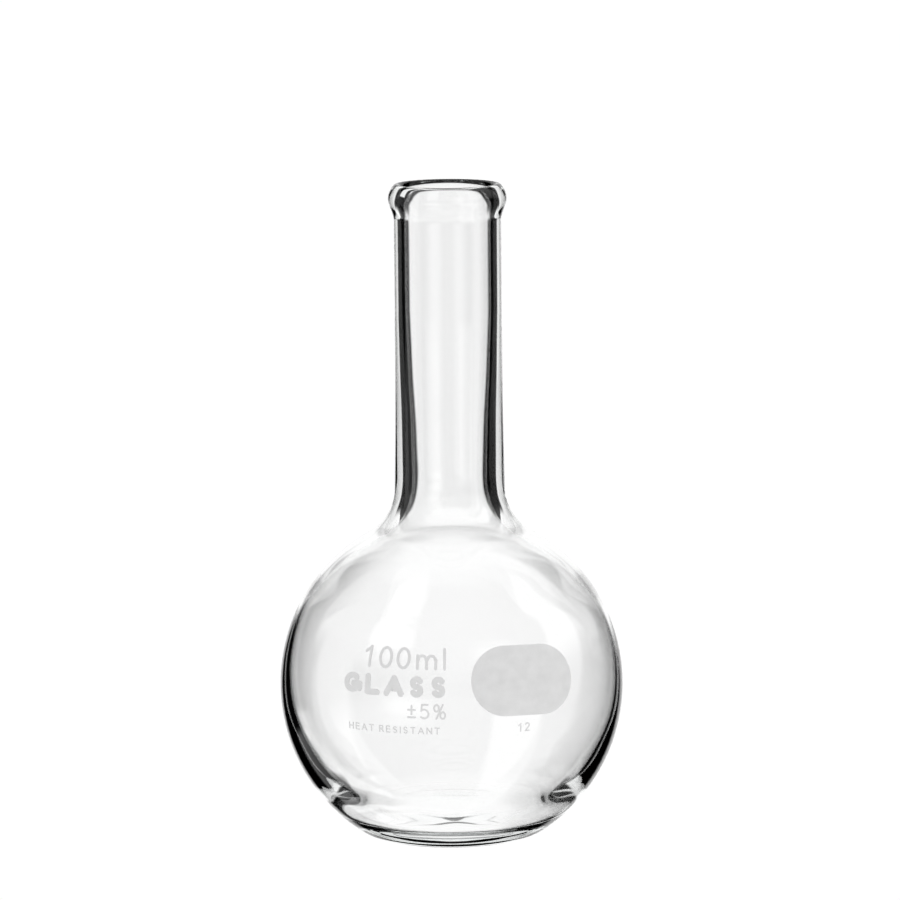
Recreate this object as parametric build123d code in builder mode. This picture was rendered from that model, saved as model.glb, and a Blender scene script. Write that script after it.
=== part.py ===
from build123d import *
import math
import os

# Flat-bottomed boiling flask, 100 ml, beaded rim.
# Millimetres. Origin: centre of the base on the bench plane, +Z up the neck.
# Azimuth 0 is the -Y side, where the fired-on marks are, and it grows towards +X.

# ---------------------------------------------------------------- dimensions
# outside of the glass
bulb_max_r = 32.0        # greatest outside radius of the bulb
bulb_arc_r = 32.8        # radius of the bulb's section arc
bulb_z = 27.83           # height of the greatest diameter
heel_r = 6.3             # outside radius between bulb and base
push_up_r = 11.8         # the middle of the base is pushed up inside this radius
push_up_h = 0.8
neck_r = 9.90            # outside radius of the straight upper neck
neck_straight_z = 92.0   # the neck is a true cylinder above this height
neck_flare_r = 1080.0    # long arc that widens the neck towards the shoulder
shoulder_r = 9.6         # hollow between neck and bulb
bead_start_z = 114.9     # foot of the beaded rim
bead_max_r = 10.92
bead_max_z = 118.7
rim_crest_r = 9.35       # top of the fire-polished rim
rim_crest_z = 121.4

# inside of the glass
bore_r = 7.95            # straight bore that takes the stopper
bore_top_z = 116.0
bore_bottom_z = 99.0
# (radius, height) down the neck, which thickens towards the shoulder
inner_neck = [(7.80, 92.0), (7.55, 84.0), (7.24, 76.7), (7.10, 70.0), (7.06, 66.8), (7.20, 64.4), (7.66, 62.3), (8.40, 60.3), (9.54, 58.6), (10.82, 57.2)]
# (degrees above the greatest diameter, wall) round the bulb, from the bulb arc's
# centre: thin at the top, where it was blown furthest, and thick towards the heel
bulb_wall = [(57, 1.80), (50, 1.72), (42, 1.62), (30, 1.00), (20, 0.92), (10, 1.08), (0, 1.30), (-10, 1.55), (-20, 1.90), (-30, 2.30), (-38, 2.58)]
# (radius, height) over the inside heel to the middle of the floor
inner_floor = [(22.6, 8.65), (19.65, 4.95), (15.6, 3.55), (10.5, 3.15), (5.0, 3.60), (0, 3.85)]

# fired-on enamel
enamel_t = 0.06
enamel_seat = 0.01       # it starts this far off the glass, so that no curved faces cross

# ------------------------------------------------- geometry from the dimensions
bulb_x = bulb_max_r - bulb_arc_r      # the bulb arc's centre lies past the axis


def meet(a, ra, b, rb, right=True):
    """The point ra from a and rb from b, on the side of larger or smaller x."""
    dx, dy = b[0] - a[0], b[1] - a[1]
    d = math.hypot(dx, dy)
    along = (ra * ra - rb * rb + d * d) / (2 * d)
    across = math.sqrt(ra * ra - along * along)
    mx, my = a[0] + along * dx / d, a[1] + along * dy / d
    p = (mx - across * dy / d, my + across * dx / d)
    q = (mx + across * dy / d, my - across * dx / d)
    return max(p, q) if right else min(p, q)


def towards(a, b, r):
    """The point at distance r from a on the line to b."""
    d = math.hypot(b[0] - a[0], b[1] - a[1])
    return (a[0] + (b[0] - a[0]) * r / d, a[1] + (b[1] - a[1]) * r / d)


def on_arc(c, r, p, q):
    """The middle of the shorter arc about c from p to q."""
    m = ((p[0] + q[0]) / 2 - c[0], (p[1] + q[1]) / 2 - c[1])
    d = math.hypot(*m)
    return (c[0] + m[0] * r / d, c[1] + m[1] * r / d)


def smooth_arc(c, r, p, q, steps):
    """A spline that follows the arc about c from p to q. Turned about Z it stays a
    free-form surface, which an arc centred past the axis doesn't."""
    a = math.atan2(p[1] - c[1], p[0] - c[0])
    b = math.atan2(q[1] - c[1], q[0] - c[0])
    angles = [a + (b - a) * i / steps for i in range(steps + 1)]
    points = [(c[0] + r * math.cos(t), c[1] + r * math.sin(t)) for t in angles]
    way = 1 if b > a else -1
    ends = [(-way * math.sin(t), way * math.cos(t)) for t in (a, b)]
    return Spline(*points, tangents=ends)


bulb_c = (bulb_x, bulb_z)
heel_c = (
    math.sqrt((bulb_arc_r - heel_r) ** 2 - (bulb_z - heel_r) ** 2) + bulb_x,
    heel_r,
)
flat_r = heel_c[0]                    # outer edge of the flat that stands on the bench
heel_end = towards(bulb_c, heel_c, bulb_arc_r)
flare_c = (neck_r + neck_flare_r, neck_straight_z)
shoulder_c = meet(bulb_c, bulb_arc_r + shoulder_r, flare_c, neck_flare_r - shoulder_r, False)
shoulder_low = towards(bulb_c, shoulder_c, bulb_arc_r)
shoulder_top = towards(flare_c, shoulder_c, neck_flare_r)



def on_wall(angle, wall):
    """The point inside the bulb where the wall has this thickness."""
    a = math.radians(angle)
    return (bulb_x + (bulb_arc_r - wall) * math.cos(a), bulb_z + (bulb_arc_r - wall) * math.sin(a))


inner_bulb = [on_wall(angle, wall) for angle, wall in bulb_wall]

# ---------------------------------------------------------------- the glass
# One blown piece: a half section turned about Z.
with BuildPart() as flask_body:
    with BuildSketch(Plane.XZ) as section:
        with BuildLine():
            # base: pushed-up middle, then the flat ring that stands on the bench
            Spline((0, push_up_h), (push_up_r / 2, push_up_h / 2), (push_up_r, 0), tangents=[(1, 0), (1, 0)])
            Line((push_up_r, 0), (flat_r, 0))
            # heel, bulb, shoulder
            ThreePointArc((flat_r, 0), on_arc(heel_c, heel_r, (flat_r, 0), heel_end), heel_end)
            smooth_arc(bulb_c, bulb_arc_r, heel_end, shoulder_low, 24)
            ThreePointArc(shoulder_low, on_arc(shoulder_c, shoulder_r, shoulder_low, shoulder_top), shoulder_top)
            # neck: long flare, then a true cylinder
            ThreePointArc(shoulder_top, on_arc(flare_c, neck_flare_r, shoulder_top, (neck_r, neck_straight_z)), (neck_r, neck_straight_z))
            Line((neck_r, neck_straight_z), (neck_r, bead_start_z))
            # bead and fire-polished rim
            Spline(
                (neck_r, bead_start_z),
                (10.06, 115.75),
                (10.40, 116.75),
                (10.74, 117.72),
                (bead_max_r, bead_max_z),
                (10.74, 119.74),
                (10.24, 120.72),
                (rim_crest_r, rim_crest_z),
                tangents=[(0, 1), (-1, 0)],
            )
            Spline(
                (rim_crest_r, rim_crest_z),
                (8.66, 121.03),
                (8.32, 120.0),
                (8.07, 118.0),
                (bore_r, bore_top_z),
                tangents=[(-1, 0), (0, -1)],
            )
            # bore, then one smooth line down the neck, round the bulb and over the floor
            Line((bore_r, bore_top_z), (bore_r, bore_bottom_z))
            Spline((bore_r, bore_bottom_z), *inner_neck, *inner_bulb, *inner_floor, tangents=[(0, -1), (-1, 0)])
            Line(inner_floor[-1], (0, push_up_h))
        make_face()
    revolve(axis=Axis.Z)

# ---------------------------------------------------------------- the marks
# Every mark is a thin layer of enamel on the outside of the bulb. Its outline is
# drawn on planes that touch the bulb, pushed through the surface, and cut to a
# shell that is enamel_t thick. A character is a list of strokes on a grid where
# the cap height is 1: ("bar", x0, y0, x1, y1), ("arc", cx, cy, r, start, sweep)
# and ("oval", cx, cy, rx, ry). Lengths along the surface are in millimetres.
GLYPHS = {
    "0": (0.60, [("oval", 0.30, 0.5, 0.30, 0.5)]),
    "1": (0.52, [("bar", 0.30, 0, 0.30, 1), ("bar", 0.30, 0.97, 0.03, 0.74)]),
    "2": (0.52, [("arc", 0.26, 0.74, 0.26, 160, -190), ("bar", 0.487, 0.61, 0.02, 0), ("bar", 0.0, 0.0, 0.52, 0.0)]),
    "5": (0.54, [("bar", 0.50, 1, 0.09, 1), ("bar", 0.09, 1, 0.05, 0.55), ("arc", 0.24, 0.33, 0.32, 130, -265)]),
    "m": (0.80, [("bar", 0, 0, 0, 0.66), ("arc", 0.20, 0.46, 0.20, 180, -180), ("bar", 0.40, 0, 0.40, 0.46), ("arc", 0.60, 0.46, 0.20, 180, -180), ("bar", 0.80, 0, 0.80, 0.46)]),
    "l": (0.0, [("bar", 0, 0, 0, 1)]),
    "±": (0.50, [("bar", 0.25, 0.30, 0.25, 0.90), ("bar", 0, 0.60, 0.50, 0.60), ("bar", 0, 0.06, 0.50, 0.06)]),
    "%": (0.78, [("oval", 0.17, 0.76, 0.17, 0.24), ("bar", 0.16, 0, 0.62, 1), ("oval", 0.61, 0.24, 0.17, 0.24)]),
    "A": (0.72, [("bar", 0, 0, 0.36, 1), ("bar", 0.72, 0, 0.36, 1), ("bar", 0.13, 0.33, 0.59, 0.33)]),
    "E": (0.52, [("bar", 0, 0, 0, 1), ("bar", 0, 1, 0.52, 1), ("bar", 0, 0.52, 0.46, 0.52), ("bar", 0, 0, 0.52, 0)]),
    "G": (0.82, [("arc", 0.44, 0.5, 0.46, 48, 264), ("bar", 0.86, 0.44, 0.86, 0.14), ("bar", 0.52, 0.44, 0.86, 0.44)]),
    "H": (0.62, [("bar", 0, 0, 0, 1), ("bar", 0.62, 0, 0.62, 1), ("bar", 0, 0.5, 0.62, 0.5)]),
    "I": (0.0, [("bar", 0, 0, 0, 1)]),
    "L": (0.52, [("bar", 0, 0, 0, 1), ("bar", 0, 0, 0.52, 0)]),
    "N": (0.64, [("bar", 0, 0, 0, 1), ("bar", 0, 1, 0.64, 0), ("bar", 0.64, 0, 0.64, 1)]),
    "R": (0.56, [("bar", 0, 0, 0, 1), ("bar", 0, 1, 0.30, 1), ("arc", 0.30, 0.75, 0.25, 90, -180), ("bar", 0.30, 0.5, 0, 0.5), ("bar", 0.26, 0.5, 0.56, 0)]),
    "S": (0.56, [("arc", 0.28, 0.75, 0.25, 30, 240), ("arc", 0.28, 0.25, 0.25, 90, -240)]),
    "T": (0.60, [("bar", 0.30, 0, 0.30, 1), ("bar", 0, 1, 0.60, 1)]),
}


def surface_plane(azimuth, latitude):
    """The plane that touches the bulb: x runs east, y runs up the meridian."""
    a, t = math.radians(azimuth), math.radians(latitude)
    r = bulb_x + bulb_arc_r * math.cos(t)
    z = bulb_z + bulb_arc_r * math.sin(t)
    return Plane(
        origin=(r * math.sin(a), -r * math.cos(a), z),
        x_dir=(math.cos(a), math.sin(a), 0),
        z_dir=(math.cos(t) * math.sin(a), -math.cos(t) * math.cos(a), math.sin(t)),
    )


def draw_stroke(stroke, width, wide, cap, pen):
    """Adds one stroke, pen wide with round ends, to the sketch being built. The
    sketch's origin is the middle of the character."""
    def x(v):
        return (v - width / 2) * wide

    def y(v):
        return (v - 0.5) * cap

    kind = stroke[0]
    if kind == "bar":
        x0, y0, x1, y1 = x(stroke[1]), y(stroke[2]), x(stroke[3]), y(stroke[4])
        length = math.hypot(x1 - x0, y1 - y0)
        turn = math.degrees(math.atan2(y1 - y0, x1 - x0))
        with Locations(Location(((x0 + x1) / 2, (y0 + y1) / 2, 0), (0, 0, turn))):
            SlotCenterToCenter(length, pen)
    elif kind == "arc":
        r, start, sweep = stroke[3] * cap, stroke[4], stroke[5]
        first, last = math.radians(start), math.radians(start + sweep)
        cx, cy = x(stroke[1]), y(stroke[2])
        with BuildSketch(mode=Mode.PRIVATE) as band:
            Circle(r + pen / 2)
            Circle(r - pen / 2, mode=Mode.SUBTRACT)
            # the part of the ring between the two ends, as a fan of triangles
            steps = max(2, math.ceil(abs(sweep) / 60))
            far = 2 * (r + pen)
            with BuildSketch(mode=Mode.PRIVATE) as fan:
                for i in range(steps):
                    a = first + (last - first) * i / steps
                    b = first + (last - first) * (i + 1) / steps
                    with BuildLine():
                        Polyline((0, 0), (far * math.cos(a), far * math.sin(a)), (far * math.cos(b), far * math.sin(b)), close=True)
                    make_face()
            add(fan.sketch, mode=Mode.INTERSECT)
            with Locations((r * math.cos(first), r * math.sin(first)), (r * math.cos(last), r * math.sin(last))):
                Circle(pen / 2)
        add(Pos(cx, cy) * band.sketch)
    else:
        rx, ry = stroke[3] * wide, stroke[4] * cap
        with Locations((x(stroke[1]), y(stroke[2]))):
            Ellipse(rx + pen / 2, ry + pen / 2)
            Ellipse(rx - pen / 2, ry - pen / 2, mode=Mode.SUBTRACT)


def word_layout(word, cap, wide, gap, space):
    """Left edge of each character and the word's whole width."""
    places, x = [], 0.0
    for ch in word:
        if ch == " ":
            x += space
            continue
        places.append((ch, x))
        x += GLYPHS[ch][0] * wide + gap
    return places, x - gap


def print_word(word, cap, wide, pen, gap, space, right_azimuth, baseline):
    """Extrudes a word through the bulb's wall. baseline is the arc length up the
    meridian from the greatest diameter; the word ends at right_azimuth."""
    places, total = word_layout(word, cap, wide, gap, space)
    latitude = math.degrees((baseline + cap / 2) / bulb_arc_r)
    r = bulb_x + bulb_arc_r * math.cos(math.radians(latitude))
    for ch, x in places:
        width, strokes = GLYPHS[ch]
        middle = x + width * wide / 2
        azimuth = right_azimuth - math.degrees((total + pen / 2 - middle) / r)
        with BuildSketch(surface_plane(azimuth, latitude)) as character:
            for stroke in strokes:
                draw_stroke(stroke, width, wide, cap, pen)
        extrude(character.sketch, amount=1.2, both=True)


def keep_enamel_shell():
    """Cuts the extruded outlines to a layer that lies on the glass."""
    low, high = math.radians(-12), math.radians(32)

    def at(r, t):
        return (bulb_x + r * math.cos(t), bulb_z + r * math.sin(t))

    inside, outside = bulb_arc_r + enamel_seat, bulb_arc_r + enamel_seat + enamel_t
    turn = math.radians(-150)
    start = Plane(origin=(0, 0, 0), x_dir=(math.cos(turn), math.sin(turn), 0), z_dir=(math.sin(turn), -math.cos(turn), 0))
    with BuildSketch(start) as layer:
        with BuildLine():
            smooth_arc(bulb_c, inside, at(inside, low), at(inside, high), 12)
            Line(at(inside, high), at(outside, high))
            smooth_arc(bulb_c, outside, at(outside, high), at(outside, low), 12)
            Line(at(outside, low), at(inside, low))
        make_face()
    revolve(layer.sketch, axis=Axis.Z, revolution_arc=120, mode=Mode.INTERSECT)


text_right = -1.85       # azimuth where the four lines of the left block end

# capacity, light strokes
with BuildPart() as capacity_mark:
    print_word("100", 3.50, 3.55, 0.52, 1.24, 0.0, -14.0, 9.26)
    print_word("ml", 3.50, 4.16, 0.52, 1.54, 0.0, text_right, 9.26)
    keep_enamel_shell()

# material word, heavy strokes
with BuildPart() as material_mark:
    print_word("GLASS", 2.75, 3.80, 1.10, 1.82, 0.0, text_right + 0.45, 4.58)
    keep_enamel_shell()

# tolerance, light strokes
with BuildPart() as tolerance_mark:
    print_word("±5%", 2.50, 2.55, 0.34, 1.05, 0.0, text_right, 0.28)
    keep_enamel_shell()

# small line
with BuildPart() as small_print_mark:
    print_word("HEAT RESISTANT", 1.10, 1.30, 0.20, 0.62, 0.60, -3.9, -2.54)
    keep_enamel_shell()

# batch number under the patch
with BuildPart() as batch_mark:
    print_word("12", 1.42, 1.42, 0.22, 0.62, 0.0, 26.0, -2.70)
    keep_enamel_shell()

# writing patch: a panel with round ends
patch_azimuth, patch_middle = 25.0, 6.55
patch_width, patch_height = 19.9, 12.7
with BuildPart() as writing_patch:
    with BuildSketch(surface_plane(patch_azimuth, math.degrees(patch_middle / bulb_arc_r))):
        SlotOverall(patch_width, patch_height, rotation=-2.8)
    extrude(amount=4.0, both=True)
    keep_enamel_shell()

# ---------------------------------------------------------------- written files
pieces = {
    "flask_body": flask_body,
    "capacity_mark": capacity_mark,
    "material_mark": material_mark,
    "tolerance_mark": tolerance_mark,
    "small_print_mark": small_print_mark,
    "batch_mark": batch_mark,
    "writing_patch": writing_patch,
}
os.makedirs("parts", exist_ok=True)
flask_body.part.label = "flask_body"
capacity_mark.part.label = "capacity_mark"
material_mark.part.label = "material_mark"
tolerance_mark.part.label = "tolerance_mark"
small_print_mark.part.label = "small_print_mark"
batch_mark.part.label = "batch_mark"
writing_patch.part.label = "writing_patch"
export_step(flask_body.part, "parts/flask_body.step")
export_step(capacity_mark.part, "parts/capacity_mark.step")
export_step(material_mark.part, "parts/material_mark.step")
export_step(tolerance_mark.part, "parts/tolerance_mark.step")
export_step(small_print_mark.part, "parts/small_print_mark.step")
export_step(batch_mark.part, "parts/batch_mark.step")
export_step(writing_patch.part, "parts/writing_patch.step")
for name, piece in pieces.items():
    print(name, len(piece.part.solids()), "solids", round(piece.part.volume, 3), "mm3")
print("shoulder", shoulder_low, shoulder_top)
print("heel", heel_end, "flat_r", flat_r)
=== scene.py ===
"""Flat-bottomed boiling flask, 100 ml: the looks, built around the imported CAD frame.

Everything is in metres, in the frame of the CAD: origin at the middle of the base, +Z up,
the fired-on marks on the -Y side. Azimuth on the glass is 0 on -Y and grows towards +X.
"""
import math

import bmesh
import bpy
import numpy as np
from mathutils import Matrix, Vector


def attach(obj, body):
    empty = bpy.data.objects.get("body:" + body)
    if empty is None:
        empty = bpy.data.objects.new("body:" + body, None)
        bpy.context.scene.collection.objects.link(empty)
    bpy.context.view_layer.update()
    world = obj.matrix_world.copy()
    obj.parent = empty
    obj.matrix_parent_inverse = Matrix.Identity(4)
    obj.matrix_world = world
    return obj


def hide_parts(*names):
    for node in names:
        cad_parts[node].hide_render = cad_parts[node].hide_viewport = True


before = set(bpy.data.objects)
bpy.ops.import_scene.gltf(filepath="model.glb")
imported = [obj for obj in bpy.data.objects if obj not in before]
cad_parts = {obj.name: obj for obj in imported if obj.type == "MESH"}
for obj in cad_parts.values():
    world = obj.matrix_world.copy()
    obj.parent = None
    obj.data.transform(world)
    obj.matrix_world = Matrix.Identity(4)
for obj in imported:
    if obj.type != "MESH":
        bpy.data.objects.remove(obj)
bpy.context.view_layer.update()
MM = 0.001
SNUG = 0.9997            # the CAD mesh has flat facets; this keeps the round glass in its box


# ------------------------------------------------------------------ profile
def spline(points, start, end, count):
    """Points along the smooth cubic through points (mm), with the unit tangents start and
    end at its ends. Chord lengths are its parameter. The first point is left out."""
    p = np.array(points, float)
    t = np.concatenate(([0.0], np.cumsum(np.linalg.norm(np.diff(p, axis=0), axis=1))))
    n = len(p)
    h = np.diff(t)
    a, b = np.zeros((n, n)), np.zeros((n, 2))
    a[0, 0] = a[-1, -1] = 1.0
    b[0] = np.array(start, float) / np.linalg.norm(start)
    b[-1] = np.array(end, float) / np.linalg.norm(end)
    for i in range(1, n - 1):
        a[i, i - 1], a[i, i], a[i, i + 1] = h[i], 2 * (h[i - 1] + h[i]), h[i - 1]
        b[i] = 3 * (h[i] * (p[i] - p[i - 1]) / h[i - 1] + h[i - 1] * (p[i + 1] - p[i]) / h[i])
    m = np.linalg.solve(a, b)
    out = []
    for s in np.linspace(0, t[-1], count + 1)[1:]:
        i = min(int(np.searchsorted(t, s, "right")) - 1, n - 2)
        u = (s - t[i]) / h[i]
        out.append(
            (2 * u**3 - 3 * u**2 + 1) * p[i]
            + (u**3 - 2 * u**2 + u) * h[i] * m[i]
            + (3 * u**2 - 2 * u**3) * p[i + 1]
            + (u**3 - u**2) * h[i] * m[i + 1]
        )
    return [tuple(q) for q in out]


def arc(c, p, q, count):
    """Points along the shorter arc about c from p to q, without p."""
    a = math.atan2(p[1] - c[1], p[0] - c[0])
    b = math.atan2(q[1] - c[1], q[0] - c[0])
    if b - a > math.pi:
        b -= 2 * math.pi
    if a - b > math.pi:
        b += 2 * math.pi
    r = math.hypot(p[0] - c[0], p[1] - c[1])
    return [
        (c[0] + r * math.cos(a + (b - a) * i / count), c[1] + r * math.sin(a + (b - a) * i / count))
        for i in range(1, count + 1)
    ]


def line(p, q, count):
    return [
        (p[0] + (q[0] - p[0]) * i / count, p[1] + (q[1] - p[1]) * i / count)
        for i in range(1, count + 1)
    ]


def meet(a, ra, b, rb, right):
    """The point ra from a and rb from b, on the side of larger or smaller x."""
    dx, dy = b[0] - a[0], b[1] - a[1]
    d = math.hypot(dx, dy)
    along = (ra * ra - rb * rb + d * d) / (2 * d)
    across = math.sqrt(ra * ra - along * along)
    mx, my = a[0] + along * dx / d, a[1] + along * dy / d
    p = (mx - across * dy / d, my + across * dx / d)
    q = (mx + across * dy / d, my - across * dx / d)
    return max(p, q) if right else min(p, q)


def towards(a, b, r):
    d = math.hypot(b[0] - a[0], b[1] - a[1])
    return (a[0] + (b[0] - a[0]) * r / d, a[1] + (b[1] - a[1]) * r / d)


BULB_R, BULB_Z, BULB_X = 32.8, 27.83, -0.8
HEEL_R = 6.3
NECK_R = 9.90

bulb_c = (BULB_X, BULB_Z)
heel_c = (math.sqrt((BULB_R - HEEL_R) ** 2 - (BULB_Z - HEEL_R) ** 2) + BULB_X, HEEL_R)
heel_end = towards(bulb_c, heel_c, BULB_R)
flare_c = (NECK_R + 1080.0, 92.0)
shoulder_c = meet(bulb_c, BULB_R + 9.6, flare_c, 1080.0 - 9.6, False)
shoulder_low = towards(bulb_c, shoulder_c, BULB_R)
shoulder_top = towards(flare_c, shoulder_c, 1080.0)

# wall thickness (mm) at angles (degrees) above the bulb's greatest diameter, seen from
# the centre of the bulb's section arc: blown thin at the top and thick towards the heel
WALL = [(57, 1.80), (50, 1.72), (42, 1.62), (30, 1.00), (20, 0.92), (10, 1.08), (0, 1.30), (-10, 1.55), (-20, 1.90), (-30, 2.30), (-38, 2.58)]
FLOOR_Z = 3.1


def on_wall(angle, wall):
    a = math.radians(angle)
    return (BULB_X + (BULB_R - wall) * math.cos(a), BULB_Z + (BULB_R - wall) * math.sin(a))


def section():
    """The half section of the glass, (r, z) in mm, from the middle of the underside round
    the outside, over the rim and down the inside to the middle of the floor."""
    s = [(0.0, 0.8)]
    s += spline([(0, 0.8), (5.9, 0.4), (11.8, 0)], (1, 0), (1, 0), 14)
    s += line((11.8, 0), (heel_c[0], 0), 3)
    s += arc(heel_c, (heel_c[0], 0), heel_end, 18)
    s += arc(bulb_c, heel_end, shoulder_low, 84)
    s += arc(shoulder_c, shoulder_low, shoulder_top, 20)
    s += arc(flare_c, shoulder_top, (NECK_R, 92.0), 12)
    s += line((NECK_R, 92.0), (NECK_R, 114.9), 8)
    s += spline(
        [(9.90, 114.9), (10.06, 115.75), (10.40, 116.75), (10.74, 117.72), (10.92, 118.7), (10.74, 119.74), (10.24, 120.72), (9.35, 121.4)],
        (0, 1), (-1, 0), 26,
    )
    s += spline([(9.35, 121.4), (8.66, 121.03), (8.32, 120.0), (8.07, 118.0), (7.95, 116.0)], (-1, 0), (0, -1), 16)
    s += line((7.95, 116.0), (7.95, 99.0), 3)
    s += spline(
        [(7.95, 99.0), (7.80, 92.0), (7.55, 84.0), (7.24, 76.7), (7.10, 70.0), (7.06, 66.8), (7.20, 64.4), (7.66, 62.3), (8.40, 60.3), (9.54, 58.6), (10.82, 57.2)]
        + [on_wall(*w) for w in WALL]
        + [(22.6, 8.65), (19.65, 4.95), (15.6, 3.55), (10.5, 3.15), (5.0, 3.60), (0, 3.85)],
        (0, -1), (-1, 0), 140,
    )
    return s


def fade(v, low, high):
    t = np.clip((v - low) / (high - low), 0, 1)
    return t * t * (3 - 2 * t)


def hand_made(r, z, angle):
    """How far (mm) the inside wanders from a perfect lathe shape: a bulb blown slightly off
    centre, and shallow tool ripples at the shoulder and round the heel."""
    bulb = 1 - fade(z, 34, 52)
    off_x = 0.22 * bulb * fade(r, 2, 14)
    heel = (1 - fade(z, 9, 18)) * fade(r, 3, 13)
    shoulder = fade(z, 55, 60) * (1 - fade(z, 64, 72))
    a = angle[None, :]
    ripple = (
        0.45 * np.sin(5 * a + 0.7 + 0.22 * z)
        + 0.30 * np.sin(11 * a + 2.1 - 0.35 * z)
        + 0.25 * np.sin(17 * a + 4.0 + 0.5 * z)
    )
    soft = 0.6 * np.sin(3 * a + 1.3 + 0.05 * z) + 0.4 * np.sin(7 * a + 0.4 - 0.08 * z)
    return off_x, (0.055 * heel + 0.012 * shoulder) * ripple + 0.012 * fade(r, 2, 8) * soft


def lathe(name, profile, inside_from, turns):
    """A closed mesh: profile (mm) turned about Z. Its first and last points are on the axis,
    and its points from inside_from on are the inside."""
    mesh = bpy.data.meshes.new(name)
    ring = np.array(profile[1:-1], float)
    angle = np.arange(turns) * 2 * math.pi / turns
    r, z = ring[:, 0][:, None], ring[:, 1][:, None]
    off_x, out = hand_made(r, z, angle)
    inner = (np.arange(len(ring)) >= inside_from - 1)[:, None] * (1 - fade(z, 96, 100))
    rr = r + inner * out
    co = np.stack([rr * np.cos(angle) + inner * off_x, rr * np.sin(angle), np.repeat(z, turns, 1)], -1).reshape(-1, 3) * MM
    co *= np.array([SNUG, SNUG, 0.99998])
    rings = len(ring)
    low, high = len(co), len(co) + 1
    co = np.vstack([co, [[0, 0, profile[0][1] * MM], [0, 0, profile[-1][1] * MM]]])
    i = np.arange(rings - 1)[:, None] * turns
    j = np.arange(turns)[None, :]
    k = (j + 1) % turns
    quads = np.stack([i + j, i + k, i + turns + k, i + turns + j], -1).reshape(-1, 4)
    j, k = np.arange(turns), (np.arange(turns) + 1) % turns
    first = np.stack([np.full(turns, low), k, j], -1)
    top = (rings - 1) * turns
    last = np.stack([np.full(turns, high), top + j, top + k], -1)
    mesh.from_pydata(co.tolist(), [], quads.tolist() + first.tolist() + last.tolist())
    mesh.shade_smooth()
    mesh.validate()
    obj = bpy.data.objects.new(name, mesh)
    bpy.context.scene.collection.objects.link(obj)
    return obj


profile = section()
inside_from = max(range(len(profile)), key=lambda i: profile[i][1]) + 1
glass = lathe("blown_glass", profile, inside_from, 288)


# ---------------------------------------------------------------- materials
def new_material(name):
    m = bpy.data.materials.new(name)
    m.use_nodes = True
    m.node_tree.nodes.clear()
    return m, m.node_tree.nodes, m.node_tree.links


def glass_material():
    m, n, l = new_material("borosilicate_glass")
    out = n.new("ShaderNodeOutputMaterial")
    b = n.new("ShaderNodeBsdfPrincipled")
    b.inputs["Base Color"].default_value = (1, 1, 1, 1)
    b.inputs["Roughness"].default_value = 0.0
    b.inputs["IOR"].default_value = 1.474
    b.inputs["Transmission Weight"].default_value = 1.0
    l.new(b.outputs["BSDF"], out.inputs["Surface"])
    v = n.new("ShaderNodeVolumeAbsorption")
    v.inputs["Color"].default_value = (0.93, 0.95, 0.945, 1)
    v.inputs["Density"].default_value = 20.0
    l.new(v.outputs["Volume"], out.inputs["Volume"])
    return m


def enamel_material(name, shade):
    m, n, l = new_material(name)
    out = n.new("ShaderNodeOutputMaterial")
    b = n.new("ShaderNodeBsdfPrincipled")
    where = n.new("ShaderNodeTexCoord").outputs["Object"]
    # coarse unevenness of the printed layer and the fine grain of the frit
    patchy, grain = n.new("ShaderNodeTexNoise"), n.new("ShaderNodeTexNoise")
    for tex, scale, detail in ((patchy, 420.0, 3.0), (grain, 5200.0, 2.0)):
        tex.inputs["Scale"].default_value = scale
        tex.inputs["Detail"].default_value = detail
        l.new(where, tex.inputs["Vector"])
    total = n.new("ShaderNodeMath")
    total.operation = "MULTIPLY_ADD"
    l.new(grain.outputs["Fac"], total.inputs[0])
    total.inputs[1].default_value = 0.45
    l.new(patchy.outputs["Fac"], total.inputs[2])
    # the layer gets thinner and lighter towards the lower right
    lean = n.new("ShaderNodeSeparateXYZ")
    l.new(where, lean.inputs[0])
    lean_x, lean_z = n.new("ShaderNodeMath"), n.new("ShaderNodeMath")
    lean_x.operation = lean_z.operation = "MULTIPLY_ADD"
    l.new(lean.outputs["X"], lean_x.inputs[0])
    lean_x.inputs[1].default_value = 9.0
    l.new(total.outputs[0], lean_x.inputs[2])
    l.new(lean.outputs["Z"], lean_z.inputs[0])
    lean_z.inputs[1].default_value = -14.0
    l.new(lean_x.outputs[0], lean_z.inputs[2])
    ramp = n.new("ShaderNodeMapRange")
    for k, v in (("From Min", 0.05), ("From Max", 0.85), ("To Min", shade - 0.05), ("To Max", shade + 0.05)):
        ramp.inputs[k].default_value = v
    l.new(lean_z.outputs[0], ramp.inputs["Value"])
    tone = n.new("ShaderNodeCombineColor")
    for i in range(3):
        l.new(ramp.outputs["Result"], tone.inputs[i])
    l.new(tone.outputs[0], b.inputs["Base Color"])
    matt = n.new("ShaderNodeMapRange")
    for k, v in (("From Min", 0.3), ("From Max", 0.7), ("To Min", 0.45), ("To Max", 0.65)):
        matt.inputs[k].default_value = v
    l.new(grain.outputs["Fac"], matt.inputs["Value"])
    l.new(matt.outputs["Result"], b.inputs["Roughness"])
    bump = n.new("ShaderNodeBump")
    bump.inputs["Strength"].default_value = 0.25
    bump.inputs["Distance"].default_value = 0.00002
    l.new(grain.outputs["Fac"], bump.inputs["Height"])
    l.new(bump.outputs["Normal"], b.inputs["Normal"])
    l.new(b.outputs["BSDF"], out.inputs["Surface"])
    return m


glass.data.materials.append(glass_material())
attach(glass, "root")
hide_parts("flask_body")
for node in ("capacity_mark", "material_mark", "tolerance_mark", "small_print_mark", "batch_mark", "writing_patch"):
    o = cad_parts[node]
    o.data.materials.clear()
    o.data.materials.append(enamel_material("enamel_" + node, 0.92))

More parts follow.
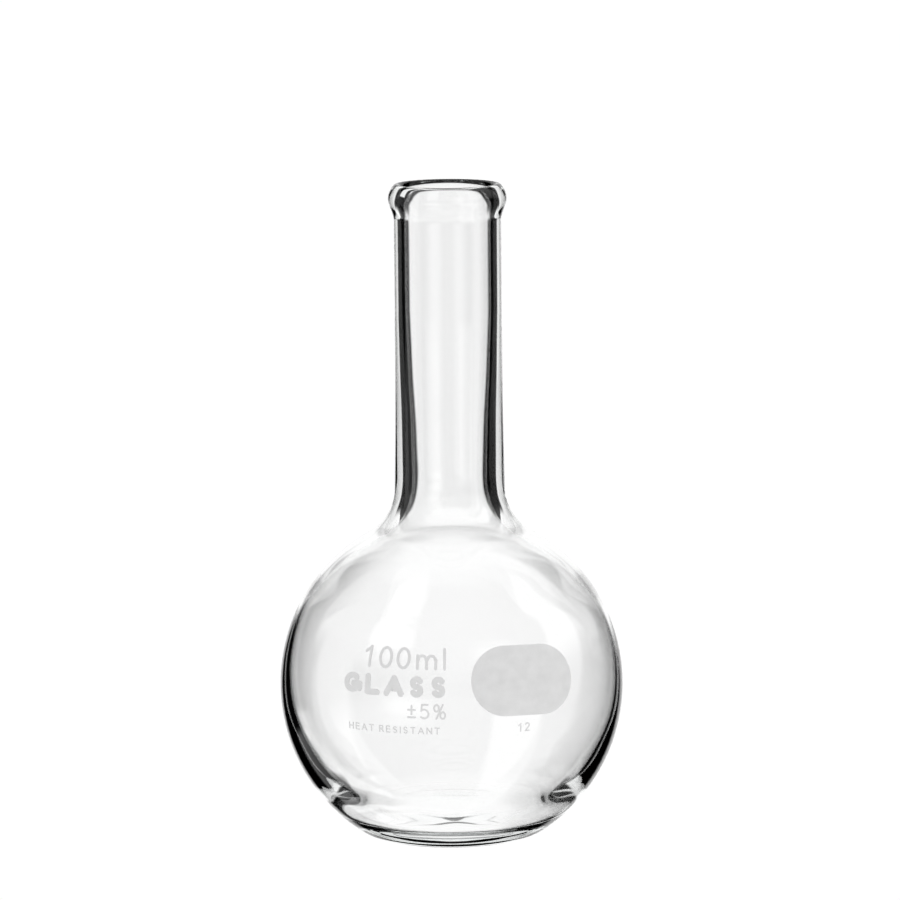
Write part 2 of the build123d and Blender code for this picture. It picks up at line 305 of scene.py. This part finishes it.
# -------------------------------------------------------------------- stage
scene = bpy.context.scene
scene.view_settings.view_transform = "Standard"
scene.view_settings.look = "None"
scene.view_settings.gamma = 0.75
scene.cycles.max_bounces = 32
scene.cycles.transmission_bounces = 32
scene.cycles.glossy_bounces = 10

cam_data = bpy.data.cameras.new("camera")
cam_data.lens = 161.559
cam_data.sensor_width = 36.0
cam_data.shift_x = 0.00057
cam_data.clip_end = 50
cam = bpy.data.objects.new("camera", cam_data)
scene.collection.objects.link(cam)
pitch, roll = math.radians(8.966), math.radians(-0.5126)
cam.matrix_world = (
    Matrix.Translation((0, -0.740, 0.188621))
    @ Matrix.Rotation(math.pi / 2 - pitch, 4, "X")
    @ Matrix.Rotation(roll, 4, "Z")
)
scene.camera = cam

mesh = bpy.data.meshes.new("floor")
mesh.from_pydata([(-6, -6, -0.0003), (6, -6, -0.0003), (6, 6, -0.0003), (-6, 6, -0.0003)], [], [(0, 1, 2, 3)])
floor = bpy.data.objects.new("floor", mesh)
scene.collection.objects.link(floor)
m, n, l = new_material("pale_floor")
out = n.new("ShaderNodeOutputMaterial")
e = n.new("ShaderNodeEmission")
e.inputs["Strength"].default_value = 1.02
l.new(e.outputs[0], out.inputs["Surface"])
floor.data.materials.append(m)
floor.visible_transmission = False
floor.visible_glossy = False
floor.visible_diffuse = False
floor.visible_shadow = False


# -------------------------------------------------------------------- world
class Net:
    """Small helper to write node arithmetic."""

    def __init__(self, tree):
        self.n, self.l = tree.nodes, tree.links

    def math(self, op, *args, clamp=False):
        node = self.n.new("ShaderNodeMath")
        node.operation = op
        node.use_clamp = clamp
        for i, a in enumerate(args):
            if isinstance(a, (int, float)):
                node.inputs[i].default_value = a
            else:
                self.l.new(a, node.inputs[i])
        return node.outputs[0]

    def step(self, value, low, high, a=0.0, b=1.0):
        """a below low, b above high, smooth between."""
        node = self.n.new("ShaderNodeMapRange")
        node.interpolation_type = "SMOOTHSTEP"
        self.l.new(value, node.inputs["Value"])
        lo, hi, x, y = low, high, a, b
        if lo > hi:
            lo, hi, x, y = hi, lo, y, x
        for k, v in (("From Min", lo), ("From Max", hi), ("To Min", x), ("To Max", y)):
            node.inputs[k].default_value = v
        return node.outputs["Result"]


world = bpy.data.worlds.new("studio")
scene.world = world
world.use_nodes = True
wt = world.node_tree
wt.nodes.clear()
w = Net(wt)
coord = wt.nodes.new("ShaderNodeTexCoord")
sep = wt.nodes.new("ShaderNodeSeparateXYZ")
wt.links.new(coord.outputs["Generated"], sep.inputs[0])
x, y, z = sep.outputs
azimuth = w.math("DEGREES", w.math("ARCTAN2", x, y))          # 0 along +Y, + towards +X
elevation = w.math("DEGREES", w.math("ARCSINE", z))

# the bright backdrop, and the dark between
side = w.math("DIVIDE", azimuth, w.step(azimuth, -1, 1, 20.0, 24.0))
below = w.math("DIVIDE", w.math("MINIMUM", w.math("ADD", elevation, 10.0), 0.0), 36.0)
reach = w.math("SQRT", w.math("ADD", w.math("MULTIPLY", side, side), w.math("MULTIPLY", below, below)))
back = w.step(reach, 1.15, 0.85)
low = w.step(elevation, -58, -70)           # towards the table
aside = w.math("ABSOLUTE", azimuth)
flank = w.math("MULTIPLY", w.step(aside, 31, 37), w.step(aside, 64, 56))
high = w.step(w.math("SUBTRACT", elevation, w.math("MULTIPLY", flank, 30.0)), 2, 22)             # towards the overhead light
front = w.step(w.math("ABSOLUTE", azimuth), 125, 180, 0.0, 0.16)
box = w.math("MULTIPLY", w.step(azimuth, -176, -152), w.step(azimuth, -124, -146))
box = w.math("MULTIPLY", box, w.math("MULTIPLY", w.step(elevation, -20, -14), w.step(elevation, 2, -4)))
# further panels round the table, for someone who walks round the flask
left = w.math("MULTIPLY", w.step(azimuth, -110, -104), w.step(azimuth, -70, -76))
rear = w.math("MULTIPLY", w.step(azimuth, 114, 120), w.step(azimuth, 156, 150))
rear = w.math("MULTIPLY", rear, w.step(elevation, -9, -12))
near = w.math("MULTIPLY", w.step(azimuth, -62, -57), w.step(azimuth, -37, -42))
near = w.math("MULTIPLY", near, w.step(elevation, -19, -22))
panels = w.math("MAXIMUM", w.math("MAXIMUM", left, rear), near)
level = w.math("MAXIMUM", w.math("MULTIPLY", back, 1.26), 0.006)
level = w.math("MAXIMUM", level, w.math("MULTIPLY", panels, 1.2))
level = w.math("MAXIMUM", level, front)
level = w.math("MAXIMUM", level, w.math("MULTIPLY", box, 1.3))
level = w.math("MAXIMUM", level, w.math("MULTIPLY", high, 1.35))
level = w.math("MAXIMUM", level, w.math("MULTIPLY", low, 1.0))

path = wt.nodes.new("ShaderNodeLightPath")
studio = wt.nodes.new("ShaderNodeBackground")
wt.links.new(level, studio.inputs["Strength"])
plain = wt.nodes.new("ShaderNodeBackground")
plain.inputs["Color"].default_value = (1, 1, 1, 1)
plain.inputs["Strength"].default_value = 1.02
soft = wt.nodes.new("ShaderNodeBackground")
soft.inputs["Strength"].default_value = 1.05
mix1 = wt.nodes.new("ShaderNodeMixShader")
wt.links.new(path.outputs["Is Diffuse Ray"], mix1.inputs[0])
wt.links.new(studio.outputs[0], mix1.inputs[1])
wt.links.new(soft.outputs[0], mix1.inputs[2])
mix2 = wt.nodes.new("ShaderNodeMixShader")
wt.links.new(path.outputs["Is Camera Ray"], mix2.inputs[0])
wt.links.new(mix1.outputs[0], mix2.inputs[1])
wt.links.new(plain.outputs[0], mix2.inputs[2])
wout = wt.nodes.new("ShaderNodeOutputWorld")
wt.links.new(mix2.outputs[0], wout.inputs["Surface"])
